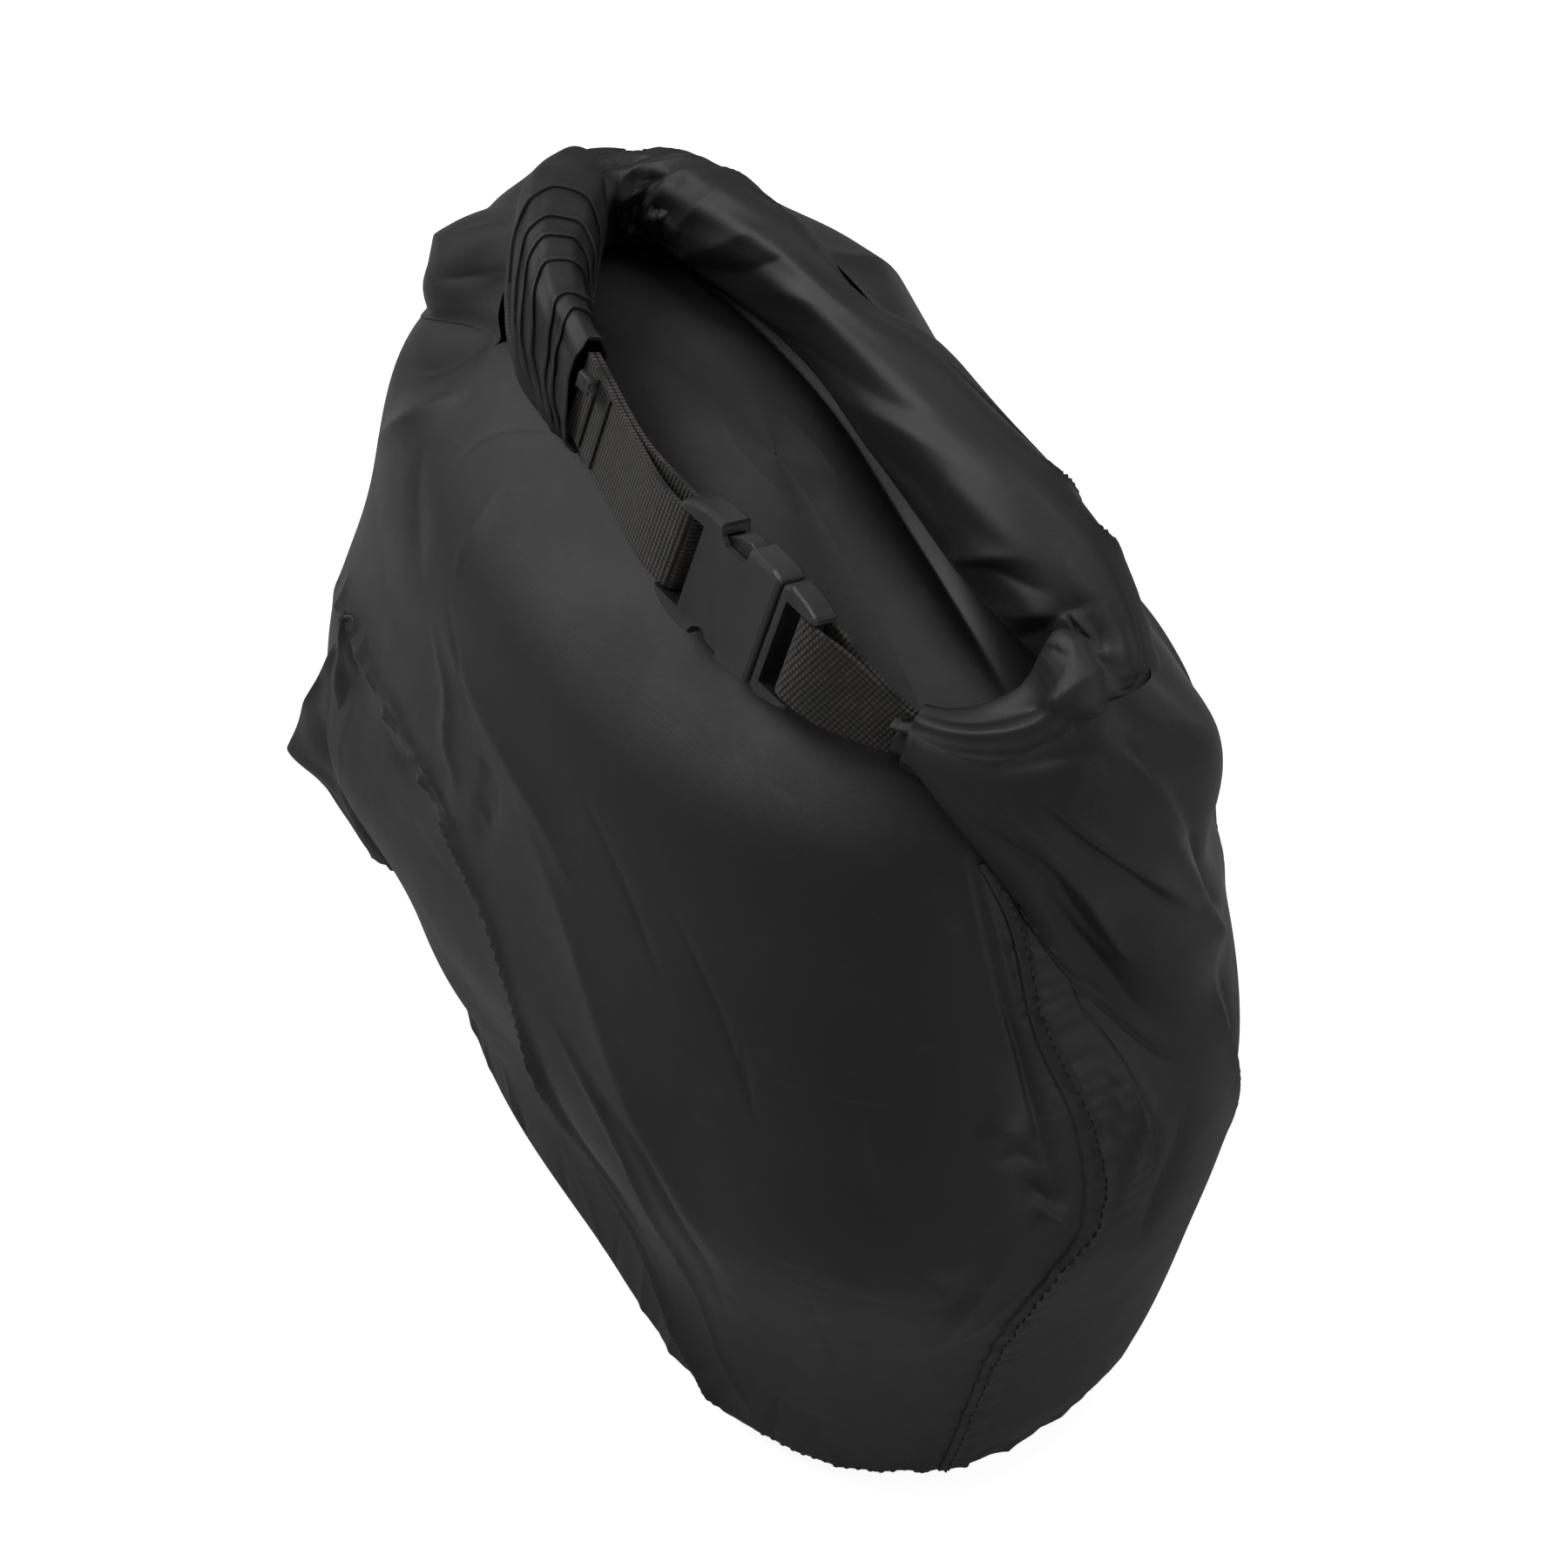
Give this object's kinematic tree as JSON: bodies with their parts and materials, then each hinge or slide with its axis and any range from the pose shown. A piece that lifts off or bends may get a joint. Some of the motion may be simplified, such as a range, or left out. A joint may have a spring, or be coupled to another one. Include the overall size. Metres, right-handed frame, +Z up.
{
  "type": "compression sack",
  "caption": "Filled roll-top sack of coated fabric, its rolled mouth bent into a ring and closed over the top by a webbing strap and a side-release buckle.",
  "frame": {"origin": "middle of the flat base, on the surface the sack stands on", "axes": "+Z up out of the floor, +X along the long side of the sack from the wrapped end of the roll to the end with the buckle's male half, -Y the face under the buckle"},
  "size_m": [0.3589, 0.2084, 0.3217],
  "materials": {
    "coated_fabric": "matt, coated nylon with a slight chalky sheen",
    "roll_fabric": "matt coated nylon",
    "seam_binding": "matt woven tape",
    "webbing": "coarse woven webbing",
    "thread": "matt",
    "stiffener_strip": "matt",
    "buckle_plastic": "satin moulded acetal"
  },
  "bodies": {
    "sack": {"front_panel": "coated_fabric", "back_panel": "coated_fabric", "base_panel": "coated_fabric", "base_seam": "seam_binding", "right_seam_tape": "seam_binding", "left_seam_tape": "seam_binding", "right_seam_thread": "thread", "left_corner_fold": "coated_fabric"},
    "rolled_top": {"roll_outer_wrap": "roll_fabric", "roll_inner_wrap": "roll_fabric", "mouth_stiffener": "stiffener_strip", "roll_left_end": "roll_fabric", "roll_right_end": "roll_fabric", "left_webbing": "webbing", "right_webbing": "webbing", "left_bartack_inner": "thread", "left_bartack_outer": "thread", "right_bartack": "thread", "left_hem_tab": "roll_fabric", "right_hem_tab": "roll_fabric", "buckle_female": "buckle_plastic", "buckle_male": "buckle_plastic"},
    "prong_upper": {"buckle_prong_upper": "buckle_plastic"},
    "prong_lower": {"buckle_prong_lower": "buckle_plastic"}
  },
  "joints": [
    {"name": "compress", "type": "slide", "parent": "sack", "child": "rolled_top", "axis": [0, 0, -1], "range_m": [0, 0.07], "stiffness_N_per_m": 400, "springref_m": -0.012, "deforming": ["front_panel", "back_panel", "right_seam_tape", "left_seam_tape", "right_seam_thread", "left_corner_fold"]},
    {"name": "prong_upper_squeeze", "type": "hinge", "parent": "rolled_top", "child": "prong_upper", "pos_m": [0.0579, -0.04089, 0.30889], "axis": [0.1008, -0.9349, 0.3403], "range_deg": [0, 12], "stiffness_Nm_per_rad": 0.5},
    {"name": "prong_lower_squeeze", "type": "hinge", "parent": "rolled_top", "child": "prong_lower", "pos_m": [0.0579, -0.04841, 0.28821], "axis": [-0.1008, 0.9349, -0.3403], "range_deg": [0, 12], "stiffness_Nm_per_rad": 0.5}
  ]
}
